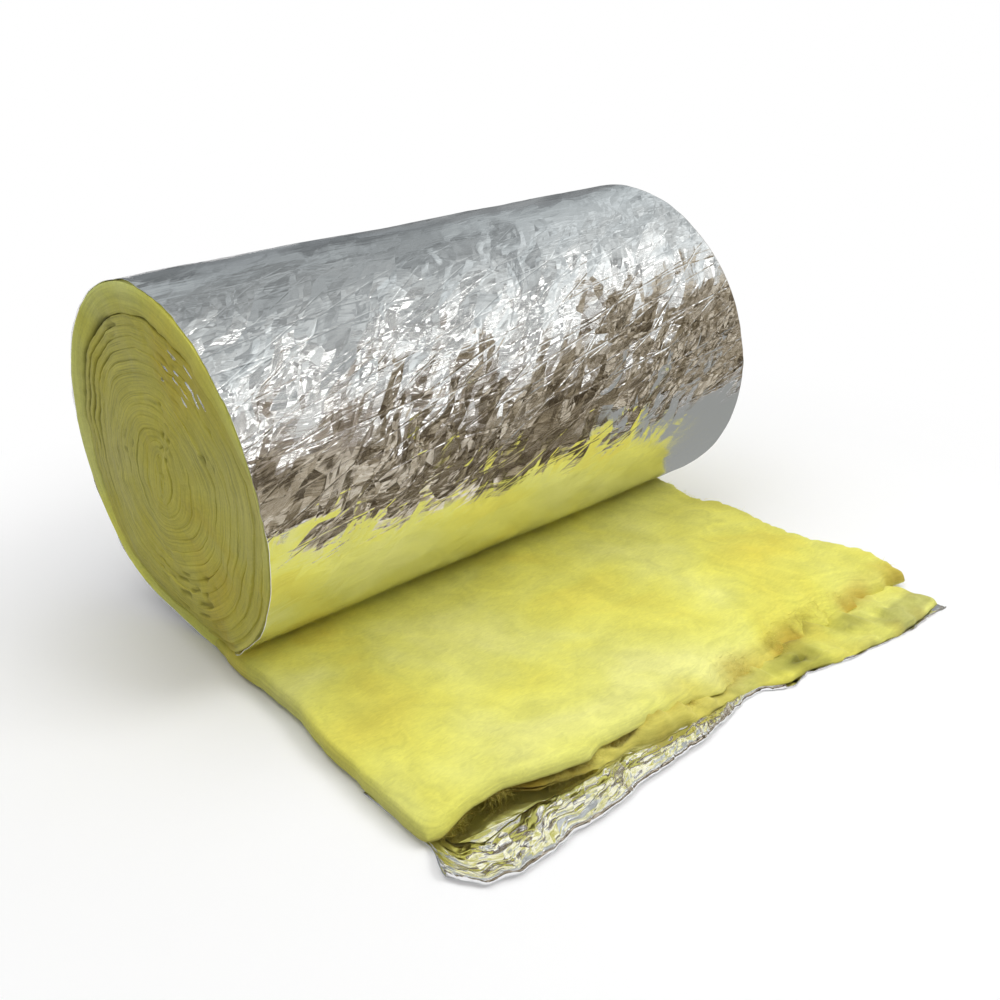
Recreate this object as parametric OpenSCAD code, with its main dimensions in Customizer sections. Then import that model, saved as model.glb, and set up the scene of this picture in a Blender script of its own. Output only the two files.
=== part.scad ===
// Foil-faced glass wool blanket, wound into a roll that lies on its side
// with its free end paid out flat on the floor.
// Millimetres, +Z up. The roll's axis runs along Y and the free end points to +X.
// The origin is the centre of the part's footprint on the floor.

/* [Blanket] */
// Width of the blanket, which is also the length of the roll
blanket_w = 600; // [300:10:1200]
// Thickness of the wool where it lies unrolled
wool_t = 22; // [14:1:40]
// Depth of the foil facing with its crinkles
foil_t = 1; // [0.5:0.1:2]
// Radius of the wool's soft upper edge along both sides
soft_edge_r = 8; // [3:1:12]

/* [Roll] */
// Outer diameter of the roll, from the floor to its top
roll_d = 358; // [240:2:480]
// Distance from one turn to the next, where the wool is squeezed
turn_pitch = 12; // [8:1:20]
// Width of the groove between two turns on the roll's ends
groove_w = 7; // [2:0.5:7.5]
// Depth of that groove
groove_d = 4; // [1:0.5:10]
// Smallest radius that the innermost turn closes round
eye_r = 10; // [6:1:30]
// Depth of the pit that the innermost turn leaves in each end
eye_d = 16; // [11:1:60]

/* [Free end] */
// Length of the full wool on the floor, from the roll's line of contact
wool_l = 402; // [280:1:900]
// Length of foil that reaches past the full wool
flap_l = 50; // [44:1:120]
// Thickness of the torn layer of wool that stays on the foil's far half
torn_t = 7; // [3:1:12]
// Width of the torn layer, measured from the blanket's far side
torn_w = 270; // [100:10:290]
// Gap from the torn layer to the foil's edge
torn_inset = 5; // [1:1:20]

/* [Foil hem] */
// Length of the folded hem, measured from the blanket's near side
hem_l = 310; // [100:10:590]
// Width of foil that is folded back
hem_w = 34; // [15:1:38]
// Outer radius of the fold
hem_r = 4; // [3:0.5:8]

/* [Hidden] */
$fn = 96;

// Overrun of a cutting shape past the faces that it cuts
overrun = 5;

// The winding is drawn in half turns. Its back half turns about a centre that is half a
// pitch lower than the front half's, so the rings of the two halves meet as one spiral.
back_r = roll_d / 2;
front_r = (roll_d - turn_pitch) / 2;
back_z = back_r;
front_z = back_z + turn_pitch / 2;
turns = floor((front_r - foil_t - eye_r) / turn_pitch);

// Lengths along X are measured from the line where the roll meets the floor
foil_l = wool_l + flap_l;
contact_x = (back_r - foil_l) / 2;

// End of the full wool: share of the width across, then share of the length along
wool_end_shares = [
    [-0.5, 0.955], [-0.42, 0.945], [-0.3, 0.985], [-0.1, 0.99], [0.1, 1], [0.5, 1]
];
// Slant of the torn layer's inner side: share of the flap's length
torn_slant_share = 1;

// Half section of the winding, with the radius along X and the roll's axis along Y
function end_line(outer_r) = [
    for (turn = [0 : turns - 1])
        let (turn_outer = outer_r - turn * turn_pitch, turn_inner = turn_outer - turn_pitch)
            each [
                [turn_outer, blanket_w / 2 - groove_d],
                [turn_outer - groove_w / 2, blanket_w / 2],
                [turn_inner + groove_w / 2, blanket_w / 2]
            ]
];

function flipped(points) = [
    for (i = [len(points) - 1 : -1 : 0]) [points[i][0], -points[i][1]]
];

module winding_section(outer_r) {
    rim_r = outer_r - turns * turn_pitch;
    end = concat(end_line(outer_r), [
        [rim_r, blanket_w / 2 - groove_d],
        [rim_r, blanket_w / 2 - eye_d],
        [0, blanket_w / 2 - eye_d]
    ]);
    polygon(concat(end, flipped(end)));
}

// One half of a solid turned about the roll's axis
module half_turn(centre_z, from_angle) {
    translate([0, 0, centre_z])
        rotate([90, 0, 0])
            rotate_extrude(angle = 180, start = from_angle)
                children();
}

module front_half() {
    half_turn(front_z, -90) children();
}

module back_half() {
    half_turn(back_z, 90) children();
}

// Section of the unrolled wool across its width, with soft upper edges
module wool_section(thickness, edge_r) {
    translate([-blanket_w / 2, 0])
        square([blanket_w, thickness - edge_r]);
    translate([edge_r - blanket_w / 2, 0])
        square([blanket_w - 2 * edge_r, thickness]);
    for (side = [-1, 1])
        translate([side * (blanket_w / 2 - edge_r), thickness - edge_r])
            circle(r = edge_r);
}

// A layer of wool lying on the foil, from the line of contact along X
module wool_layer(length, thickness, edge_r) {
    translate([0, 0, foil_t])
        rotate([90, 0, 90])
            linear_extrude(length)
                wool_section(thickness, edge_r);
}

// The full wool of the free end, with its uneven end
module free_wool() {
    outline = concat(
        [[0, blanket_w], [0, -blanket_w], [wool_end_shares[0][1] * wool_l, -blanket_w]],
        [for (s = wool_end_shares) [s[1] * wool_l, s[0] * blanket_w]],
        [[wool_l, blanket_w]]
    );
    intersection() {
        wool_layer(wool_l, wool_t, soft_edge_r);
        linear_extrude(foil_t + wool_t + overrun)
            polygon(outline);
    }
}

// The thin layer that stayed on the foil where the wool above it tore away
module torn_wool() {
    inner_y = blanket_w / 2 - torn_w;
    torn_l = foil_l - torn_inset;
    outline = [
        [wool_end_shares[0][1] * wool_l, inner_y],
        [wool_l, inner_y],
        [torn_l, inner_y + torn_slant_share * flap_l],
        [torn_l, blanket_w / 2],
        [wool_end_shares[0][1] * wool_l, blanket_w / 2]
    ];
    translate([0, 0, foil_t])
        linear_extrude(torn_t)
            polygon(outline);
}

module wool_blanket() {
    color("khaki")
        translate([contact_x, 0, 0]) {
            back_half() winding_section(back_r - foil_t);
            front_half() winding_section(front_r - foil_t);
            difference() {
                free_wool();
                translate([0, 0, front_z])
                    rotate([90, 0, 0])
                        cylinder(r = front_r, h = blanket_w + 2 * overrun, center = true);
            }
            torn_wool();
        }
}

// Section of the foil's skin on one half of the roll
module skin_section(outer_r) {
    translate([outer_r - foil_t, -blanket_w / 2])
        square([foil_t, blanket_w]);
}

// Section of the hem across the fold: half a ring and the strip folded back from it
module hem_section() {
    translate([foil_l - hem_r, hem_r])
        difference() {
            circle(r = hem_r);
            circle(r = hem_r - foil_t);
            translate([-hem_r - overrun, -hem_r - overrun])
                square([hem_r + overrun, 2 * (hem_r + overrun)]);
        }
    translate([foil_l - hem_r - hem_w, 2 * hem_r - foil_t])
        square([hem_w, foil_t]);
}

module foil_hem() {
    translate([0, hem_l - blanket_w / 2, 0])
        rotate([90, 0, 0])
            linear_extrude(hem_l)
                hem_section();
}

// The foil under the unrolled wool, cut back at the fold of the hem
module floor_foil() {
    translate([0, -blanket_w / 2, 0])
        cube([foil_l - hem_r, blanket_w, foil_t]);
    translate([foil_l - hem_r, hem_l - blanket_w / 2, 0])
        cube([hem_r, blanket_w - hem_l, foil_t]);
}

module foil_facing() {
    color("silver")
        translate([contact_x, 0, 0]) {
            back_half() skin_section(back_r);
            front_half() skin_section(front_r);
            floor_foil();
            foil_hem();
        }
}

wool_blanket();
foil_facing();
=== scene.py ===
"""Looks of a foil-faced glass wool roll: crinkled foil, wound turns, and a torn free end on the floor.

Everything is in metres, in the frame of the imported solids. Lengths along the blanket are measured
from the line where the roll meets the floor, towards the free end.
"""

import math
from math import pi

import bpy
import numpy as np
from mathutils import Matrix, Vector


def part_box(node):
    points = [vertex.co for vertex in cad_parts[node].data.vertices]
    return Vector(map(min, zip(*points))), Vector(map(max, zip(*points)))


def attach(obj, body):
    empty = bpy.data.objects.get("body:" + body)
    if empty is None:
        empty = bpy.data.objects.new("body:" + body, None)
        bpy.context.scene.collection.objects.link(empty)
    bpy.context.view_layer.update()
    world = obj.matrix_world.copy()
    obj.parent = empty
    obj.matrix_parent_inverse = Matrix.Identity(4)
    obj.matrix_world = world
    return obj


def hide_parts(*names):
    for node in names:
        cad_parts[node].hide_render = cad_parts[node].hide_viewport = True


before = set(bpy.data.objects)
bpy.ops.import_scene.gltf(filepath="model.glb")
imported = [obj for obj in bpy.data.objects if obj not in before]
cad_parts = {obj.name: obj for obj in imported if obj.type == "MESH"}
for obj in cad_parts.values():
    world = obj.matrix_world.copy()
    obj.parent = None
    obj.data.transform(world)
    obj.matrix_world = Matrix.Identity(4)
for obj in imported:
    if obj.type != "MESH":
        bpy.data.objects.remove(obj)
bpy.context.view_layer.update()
SCENE = bpy.context.scene

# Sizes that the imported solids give
foil_low, foil_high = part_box("foil_facing")
ROLL_D = foil_high.z - foil_low.z
BACK_R = ROLL_D / 2
CONTACT_X = foil_low.x + BACK_R
HALF_W = foil_high.y

# Sizes of the winding, as in the solids
TURN_PITCH = 0.012
FOIL_T = 0.001
WOOL_T = 0.022
FRONT_R = (ROLL_D - TURN_PITCH) / 2
FRONT_Z = BACK_R + TURN_PITCH / 2
TURNS = 14.1
# How far the roll's sides bulge under its own weight
SAG = 0.0078

# Angle round the roll at which the foil dives into the nip, and the foil's length up to there
NIP_ANGLE = 2 * pi - 0.2
WRAP_L = pi * BACK_R + (NIP_ANGLE - pi) * FRONT_R

# Distance along the free end at which the roll's foil meets the wool
NIP_RUN = math.sqrt(FRONT_R ** 2 - (FRONT_Z - WOOL_T - FOIL_T) ** 2)

# How far the wool's and the foil's sides lie inside the blanket's
WOOL_IN = 0.0005
FOIL_IN = 0.0016
# How far the foil's sides lie inside the wool's on the floor
UNDER_WOOL = 0.013
# Thickness of the foil as seen along its rim, and of its loose sheets
RIM_T = 0.0004
SHEET_T = 0.0003
# Sides of the torn layer across the blanket, and the near side and the width of the foil flap
TORN_NEAR, TORN_FAR = -0.296, 0.275
FLAP_NEAR, FLAP_W = -0.313, 0.590

# Outlines of the free end: distance along the blanket, then place across it
NEAR_EDGE = [(0.0, -0.278), (0.03, -0.283), (0.05, -0.2875), (0.07, -0.290), (0.13, -0.288),
             (0.18, -0.290), (0.23, -0.299), (0.275, -0.302), (0.32, -0.306), (0.35, -0.307),
             (0.45, -0.305)]
FAR_EDGE = [(0.0, 0.292), (0.089, 0.291), (0.14, 0.280), (0.166, 0.290), (0.205, 0.287),
            (0.231, 0.277), (0.276, 0.277), (0.302, 0.275), (0.322, 0.281), (0.341, 0.289),
            (0.366, 0.292), (0.392, 0.286), (0.45, 0.286)]
# Ends of the free end's layers: place across the blanket, then distance along it
WOOL_END = [(-0.31, 0.377), (-0.297, 0.381), (-0.261, 0.373), (-0.231, 0.373), (-0.183, 0.388),
            (-0.154, 0.393), (-0.137, 0.387), (-0.093, 0.391), (-0.036, 0.395), (0.019, 0.400),
            (0.055, 0.399), (0.120, 0.396), (0.169, 0.394), (0.216, 0.396), (0.27, 0.398),
            (0.29, 0.403)]
TORN_END = [(-0.31, 0.350), (-0.26, 0.350), (-0.225, 0.358), (-0.195, 0.382), (-0.15, 0.396),
            (-0.11, 0.398), (-0.07, 0.407), (-0.04, 0.410), (0.0, 0.410), (0.03, 0.417), (0.06, 0.430),
            (0.09, 0.430), (0.126, 0.441), (0.171, 0.448), (0.217, 0.452), (0.276, 0.447), (0.30, 0.442)]
FOIL_END = [(-0.32, 0.404), (-0.313, 0.411), (-0.298, 0.436), (-0.285, 0.438), (-0.272, 0.444),
            (-0.25, 0.443), (-0.214, 0.440), (-0.187, 0.440), (-0.141, 0.436), (-0.091, 0.433),
            (-0.052, 0.430), (-0.023, 0.424), (0.013, 0.417), (0.032, 0.418), (0.041, 0.426),
            (0.058, 0.433), (0.085, 0.431), (0.126, 0.442), (0.171, 0.449), (0.217, 0.455),
            (0.276, 0.453), (0.30, 0.446)]
# Width of the foil's folded hem: place across the blanket, then width
HEM_WIDTH = [(-0.32, 0.048), (-0.277, 0.042), (-0.23, 0.041), (-0.163, 0.035), (-0.113, 0.027),
             (-0.043, 0.016), (-0.017, 0.010), (0.02, 0.004), (0.05, 0.0), (0.31, 0.0)]
# The small hole in the torn layer: its place along and across, and its reach
HOLE_AT = (0.416, 0.088)
HOLE_R = (0.004, 0.009)

# How crumpled the foil is round the roll: angle as a share of half a turn, then a share
CRUMPLE = [(0.0, 0.2), (0.3, 0.45), (0.6, 0.6), (0.9, 0.35), (1.0, 0.10), (1.10, 0.16), (1.22, 0.65),
           (1.32, 1.0), (1.42, 1.0), (1.49, 0.8), (1.54, 0.55), (1.60, 0.28), (1.67, 0.14), (1.9, 0.06)]
# Kinds of crease in the foil: how many, the ranges of their length, their sides' width and their
# rise, and the mean and the spread of their angle from the roll's axis in degrees
ROLL_CREASES = [(90, (0.10, 0.34), (0.010, 0.026), (0.0005, 0.0014), (6, 8)),
                (260, (0.04, 0.13), (0.008, 0.018), (0.0006, 0.0018), (45, 14))]
FLAP_CREASES = [(110, (0.06, 0.20), (0.003, 0.008), (0.0005, 0.0014), (0, 7)),
                (120, (0.020, 0.06), (0.006, 0.014), (0.0006, 0.0018), (40, 50))]
# Share of the pull at the floor that each turn keeps, by its number
FLOOR_PULL = [(0, 1.0), (1, 1.0), (2, 0.65), (3, 0.35), (4, 0.12), (5, 0.0)]


def follow(table, at):
    """Value of a table of (place, value) pairs at each place."""
    places, values = zip(*table)
    return np.interp(at, places, values)


def ease(value, start, end):
    """Smooth step from 0 at start to 1 at end."""
    t = np.clip((value - start) / (end - start), 0, 1)
    return t * t * (3 - 2 * t)


def vectors(x, y, z):
    """Three values, of shapes that fit each other, as vectors."""
    return np.stack(np.broadcast_arrays(x, y, z), -1)


def lattice(cells, seed):
    """A repeatable number from -1 to 1 for each whole-number cell, of shape (..., 3)."""
    c = cells.astype(np.int64).astype(np.uint32)
    with np.errstate(over="ignore"):
        h = c[..., 0] * np.uint32(0x8DA6B343) ^ c[..., 1] * np.uint32(0xD8163841)
        h = h ^ c[..., 2] * np.uint32(0xCB1AB31F) ^ np.uint32(seed * 0x9E3779 + 1)
        h = (h ^ (h >> np.uint32(15))) * np.uint32(0x2C1B3C6D)
        h = (h ^ (h >> np.uint32(12))) * np.uint32(0x297A2D39)
    h = h ^ (h >> np.uint32(15))
    return h / 2.0 ** 31 - 1


def noise(points, size, seed):
    """Smooth noise from -1 to 1 at points of shape (..., 3), with features about size across."""
    p = np.asarray(points) / size
    cell = np.floor(p)
    f = p - cell
    f = f * f * f * (f * (f * 6 - 15) + 10)
    total = 0.0
    for corner in np.ndindex(2, 2, 2):
        weight = np.prod(np.where(corner, f, 1 - f), axis=-1)
        total = total + weight * lattice(cell + corner, seed)
    return total


def noise_1d(values, size, seed):
    """Smooth noise along one value."""
    return noise(vectors(values, 0.0, 0.0), size, seed)


def grid_quads(rows, cols, loop=False):
    """Faces of a grid of points, closed across its columns where loop is set."""
    r, c = np.meshgrid(np.arange(rows - 1), np.arange(cols if loop else cols - 1), indexing="ij")
    c2 = (c + 1) % cols
    first, second = r * cols, (r + 1) * cols
    return np.stack([first + c, first + c2, second + c2, second + c], -1).reshape(-1, 4)


def tube_faces(rows, cols):
    """Faces of a closed tube whose rows are rings, with a cap at each end."""
    faces = grid_quads(rows, cols, loop=True).tolist()
    faces.append(list(range(cols))[::-1])
    faces.append(list(range((rows - 1) * cols, rows * cols)))
    return faces


def add_object(name, data):
    """A new object in the scene."""
    obj = bpy.data.objects.new(name, data)
    SCENE.collection.objects.link(obj)
    return obj


def mesh_object(name, points, faces, material):
    """A new mesh in the scene with one material."""
    mesh = bpy.data.meshes.new(name)
    mesh.from_pydata(points, [], faces)
    mesh.materials.append(material)
    return add_object(name, mesh)


def make_object(name, points, faces, material):
    """A smooth piece that rides on the roll, with one material."""
    obj = mesh_object(name, np.asarray(points).reshape(-1, 3).tolist(), [list(f) for f in faces], material)
    obj.data.validate()
    obj.data.shade_smooth()
    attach(obj, "root")
    return obj


def thicken(obj):
    """Gives a bare sheet the thickness of foil."""
    skin = obj.modifiers.new("thickness", "SOLIDIFY")
    skin.thickness = SHEET_T


def set_attribute(obj, name, values):
    """Stores one vector at each point of a piece, for its material to read."""
    attribute = obj.data.attributes.new(name, "FLOAT_VECTOR", "POINT")
    attribute.data.foreach_set("vector", np.asarray(values, np.float32).ravel())


class Nodes:
    """The node tree of a material or a world, with short calls to add and link nodes."""

    def __init__(self, owner):
        self.owner = owner
        owner.use_nodes = True
        self.tree = owner.node_tree
        self.shader = self.tree.nodes.get("Principled BSDF")

    def add(self, kind, props=None, **inputs):
        node = self.tree.nodes.new(kind)
        for key, value in (props or {}).items():
            setattr(node, key, value)
        self.set(node, **inputs)
        return node

    def set(self, node, **inputs):
        """Sets or links inputs. A key is an input's name, with _ for each space, or i and its number."""
        for key, value in inputs.items():
            name = int(key[1:]) if key[0] == "i" and key[1:].isdigit() else key.replace("_", " ")
            if isinstance(value, bpy.types.NodeSocket):
                self.tree.links.new(value, node.inputs[name])
            else:
                node.inputs[name].default_value = value

    def place(self):
        """Each point's place, in the object's own frame."""
        return self.add("ShaderNodeTexCoord").outputs["Object"]

    def attribute(self, name):
        """The vector that set_attribute stored at each point."""
        return self.add("ShaderNodeAttribute", {"attribute_name": name}).outputs["Vector"]

    def axes(self, vector):
        return self.add("ShaderNodeSeparateXYZ", i0=vector).outputs

    def surface(self, shader):
        """Makes a shader the surface, in place of the one that was there."""
        output = next(node for node in self.tree.nodes if node.bl_idname.startswith("ShaderNodeOutput"))
        self.tree.links.new(shader.outputs[0], output.inputs["Surface"])

    def blend(self, share, first, second):
        """Makes a mix of two shaders the surface."""
        mixed = self.add("ShaderNodeMixShader", i0=share, i1=first.outputs[0], i2=second.outputs[0])
        self.surface(mixed)

    def background_rays(self):
        """1 for the rays that see the background: the camera's, and those off metal and through glass."""
        rays = self.add("ShaderNodeLightPath").outputs
        sent_on = self.math("MAXIMUM", rays["Is Glossy Ray"], rays["Is Transmission Ray"])
        return self.math("MAXIMUM", rays["Is Camera Ray"], sent_on)

    def math(self, operation, a, b=0.0, clamp=False):
        props = {"operation": operation, "use_clamp": clamp}
        return self.add("ShaderNodeMath", props, i0=a, i1=b).outputs[0]

    def times(self, a, b):
        return self.math("MULTIPLY", a, b)

    def noise(self, at, scale, detail, dimensions="3D", **inputs):
        """The outputs of a noise texture."""
        inputs.update(Vector=at, Scale=scale, Detail=detail)
        return self.add("ShaderNodeTexNoise", {"noise_dimensions": dimensions}, **inputs).outputs

    def vector(self, operation, a, b=(0, 0, 0)):
        return self.add("ShaderNodeVectorMath", {"operation": operation}, i0=a, i1=b).outputs[0]

    def scaled(self, a, factor):
        return self.add("ShaderNodeVectorMath", {"operation": "SCALE"}, i0=a, Scale=factor).outputs[0]

    def ramp(self, factor, stops):
        node = self.add("ShaderNodeValToRGB", Fac=factor)
        elements = node.color_ramp.elements
        while len(elements) < len(stops):
            elements.new(0.5)
        for element, (place, colour) in zip(elements, stops):
            element.position = place
            element.color = (*colour, 1)
        return node.outputs["Color"]

    def span(self, value, low, high, to_low=0.0, to_high=1.0):
        return self.add("ShaderNodeMapRange", i0=value, i1=low, i2=high, i3=to_low, i4=to_high).outputs[0]


def facets(n, at, lean, length, width):
    """Long flat facets on the sheet: each facet's own turn of the normal, and the distance to its crease.

    lean is the angle from the roll's axis in degrees, length and width are in metres."""
    turned = n.add("ShaderNodeMapping", Vector=at, Rotation=(0, 0, math.radians(lean)))
    stretched = n.vector("MULTIPLY", turned.outputs[0], (1 / width, 1 / length, 1))
    cells = n.add("ShaderNodeTexVoronoi", {"voronoi_dimensions": "2D"}, Vector=stretched, Scale=1.0)
    lines = n.add("ShaderNodeTexVoronoi", {"voronoi_dimensions": "2D", "feature": "DISTANCE_TO_EDGE"},
                  Vector=stretched, Scale=1.0)
    return n.vector("SUBTRACT", cells.outputs["Color"], (0.5, 0.5, 0.5)), lines.outputs["Distance"]


def foil_material():
    """Bright thin foil: long leaning facets and fine creases, stronger where the sheet is crumpled."""
    n = Nodes(bpy.data.materials.new("crinkled_foil"))
    sheet = n.attribute("sheet")
    crumple = n.axes(sheet)["Z"]
    flat = n.vector("MULTIPLY", sheet, (1, 1, 0))
    wobble = n.noise(flat, 22.0, 0.0, "2D")["Color"]
    shift = n.vector("SUBTRACT", wobble, (0.5, 0.5, 0.5))
    bent = n.vector("ADD", flat, n.scaled(shift, 0.016))
    fine_share = n.span(n.noise(flat, 9.0, 1.0, "2D")["Fac"], 0.35, 0.65, 0.35, 1.0)
    fine_crumple = n.times(crumple, fine_share)
    normal = n.add("ShaderNodeNewGeometry").outputs["Normal"]
    ridges = 0.0
    # Kinds of facet: where, how much, lean, length, width and tilt, and a standing crease's width if any
    for at, share, lean, length, width, tilt, crease_w in (
            (bent, crumple, 40, 0.046, 0.0120, 0.46, None),
            (flat, crumple, 9, 0.190, 0.0200, 0.10, 0.0010),
            (flat, crumple, 22, 0.120, 0.0260, 0.12, 0.0009),
            (bent, fine_crumple, 50, 0.022, 0.0055, 0.34, None),
            (bent, fine_crumple, 24, 0.012, 0.0032, 0.22, None)):
        turn, line = facets(n, at, lean, length, width)
        normal = n.vector("ADD", normal, n.scaled(turn, n.times(share, tilt)))
        if crease_w:
            ridges = n.math("ADD", ridges, n.span(line, 0.0, crease_w / width, 1.0, 0.0))
    normal = n.vector("NORMALIZE", normal)
    sharpness = n.math("ADD", n.times(crumple, 0.45), 0.015, True)
    bump = n.add("ShaderNodeBump", Strength=sharpness, Distance=0.0005, Height=ridges, Normal=normal)
    # Long faint streaks along the roll, which also show where the sheet is smooth
    streak_at = n.add("ShaderNodeMapping", Vector=bent, Rotation=(0, 0, math.radians(10)),
                      Scale=(150, 9, 1)).outputs[0]
    streaks = n.noise(streak_at, 1.0, 3.0, "2D")["Fac"]
    soft = n.add("ShaderNodeBump", Strength=0.16, Distance=0.002, Height=streaks, Normal=bump.outputs[0])
    n.set(n.shader, Base_Color=(0.86, 0.86, 0.87, 1), Metallic=1.0,
          Roughness=n.span(streaks, 0.3, 0.7, 0.09, 0.20), Normal=soft.outputs[0])
    return n.owner


def wool_material():
    """Soft yellow glass wool: pale and deep yellow patches and matted layers, a brown tint that is partly
    the colour of ripped wool and partly painted shade, and painted shade in gaps, pits and thin lines.

    The attribute read below holds three shares at each point: the brown tint, partly painted shade; the
    darkening of the roll's ends, painted shade, which runs below zero for a painted highlight on the loose
    outer turn; and painted shade in gaps, pits and the hole."""
    n = Nodes(bpy.data.materials.new("glass_wool"))
    place = n.place()
    grain = n.attribute("grain")
    torn, cut_shade_and_light, darkening = n.axes(n.attribute("wear_shade_and_light"))
    patch = n.noise(place, 7.0, 3.0, Roughness=0.5, Distortion=0.5)["Fac"]
    colour = n.ramp(patch, [
        (0.30, (0.75, 0.66, 0.095)), (0.44, (0.765, 0.735, 0.140)), (0.56, (0.765, 0.755, 0.190)),
        (0.72, (0.80, 0.79, 0.270))])
    # Matted layers, drawn out along the blanket
    layer_at = n.vector("MULTIPLY", grain, (480, 14, 22))
    layers = n.noise(layer_at, 1.0, 4.0, Roughness=0.55, Distortion=0.4)["Fac"]
    fibre_at = n.vector("MULTIPLY", grain, (260, 320, 120))
    fibres = n.noise(fibre_at, 1.0, 4.0, Roughness=0.6, Distortion=1.2)["Fac"]
    height = n.math("ADD", n.times(layers, 0.6), n.times(fibres, 0.4))
    # Thin dark lines between the layers, in patches, where the wool is cut: painted shade between the
    # layers
    line_at = n.vector("MULTIPLY", grain, (620, 11, 0))
    lines = n.noise(line_at, 1.0, 2.0, Roughness=0.6, Distortion=0.6)["Fac"]
    line = n.times(n.span(lines, 0.36, 0.46, 1.0, 0.0), cut_shade_and_light)
    line = n.times(line, n.span(patch, 0.40, 0.60, 0.35, 1.0))
    # The loose outer turn is paler, a painted highlight, and the roll's cut ends, the lines and the cracks
    # are darker, painted shade
    tone = n.span(height, 0.33, 0.67, 0.82, 1.10)
    tone = n.times(tone, n.span(cut_shade_and_light, -1.0, 0.0, 1.18, 1.0))
    for share, darkest in ((cut_shade_and_light, 0.90), (line, 0.70), (darkening, 0.30)):
        tone = n.times(tone, n.span(share, 0.0, 1.0, 1.0, darkest))
    # The brown tint is partly the colour of torn wool and partly painted shade: along the nip, under the
    # near lip, below the torn end and on its near half
    mix = n.add("ShaderNodeMix", {"data_type": "RGBA"}, i0=torn, i6=colour, i7=(0.50, 0.355, 0.050, 1))
    # The roll's cut ends are also tinted olive, part of their painted shade
    warmth = n.vector("SUBTRACT", (1, 1, 1), n.scaled((0.02, 0.065, 0.13), cut_shade_and_light))
    bump = n.add("ShaderNodeBump", Strength=0.22, Distance=0.0025, Height=height)
    n.set(n.shader, Base_Color=n.scaled(n.vector("MULTIPLY", mix.outputs[2], warmth), tone),
          Roughness=1.0, Specular_IOR_Level=0.1, Sheen_Weight=0.12, Normal=bump.outputs[0])
    return n.owner


FOIL = foil_material()
WOOL = wool_material()


def sagged(x, z):
    """Place along X of a point of the roll, which is a little wider below its middle."""
    share = np.clip(z / ROLL_D, 0, 1)
    return x + SAG * np.sin(pi * share ** 0.8) * np.clip((x - CONTACT_X) / 0.08, -1, 1)


def wind(angle, depth):
    """Points of the spiral, depth below the foil's outermost turn.

    Angle 0 is at the floor and runs up the back."""
    back = angle % (2 * pi) < pi
    radius = np.where(back, BACK_R, FRONT_R) - depth
    centre_z = np.where(back, BACK_R, FRONT_Z)
    z = centre_z - radius * np.cos(angle)
    return sagged(CONTACT_X - radius * np.sin(angle), z), z


def pulled_in(turn, within):
    """Share by which a turn's sides are pulled in at the floor, less and less from turn to turn."""
    low = 1 - ease(within, 0.04 * pi, 0.26 * pi)
    high = 1 - ease(within, 0.10 * pi, 0.75 * pi)
    tuck = 0.2 * ease(within, 1.40 * pi, 1.65 * pi)
    tuck = tuck + 0.8 * ease(within, 1.80 * pi, 1.97 * pi)
    from_floor = follow(FLOOR_PULL, turn) * (0.6 * low + 0.4 * high)
    return from_floor + follow(FLOOR_PULL, turn + 1) * tuck


def side_place(edge, turn, within):
    """Place across of one of the blanket's sides round the roll, from its edge on the floor."""
    start = edge[0][1]
    flat = math.copysign(HALF_W, start)
    return flat + (start - flat) * pulled_in(turn, within)


def add_creases(height, along, across, rng, kinds, strength):
    """Adds flat-sided ridges and furrows of each kind, at random places, to the height of a sheet."""
    for count, length, width, depth, lean in kinds:
        for _ in range(count):
            a = rng.uniform(along.min(), along.max())
            b = rng.uniform(across.min(), across.max())
            half = rng.uniform(*length) / 2
            sides = rng.uniform(*width, size=2)
            rise = rng.uniform(*depth) * (1 if rng.random() < 0.6 else -1)
            angle = math.radians(rng.normal(*lean))
            run = np.abs((along - a) * math.sin(angle) + (across - b) * math.cos(angle)) / half
            off = (along - a) * math.cos(angle) - (across - b) * math.sin(angle)
            off = np.where(off > 0, off / sides[0], -off / sides[1])
            height += rise * np.clip(1 - run - off, 0, None) * strength


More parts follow.
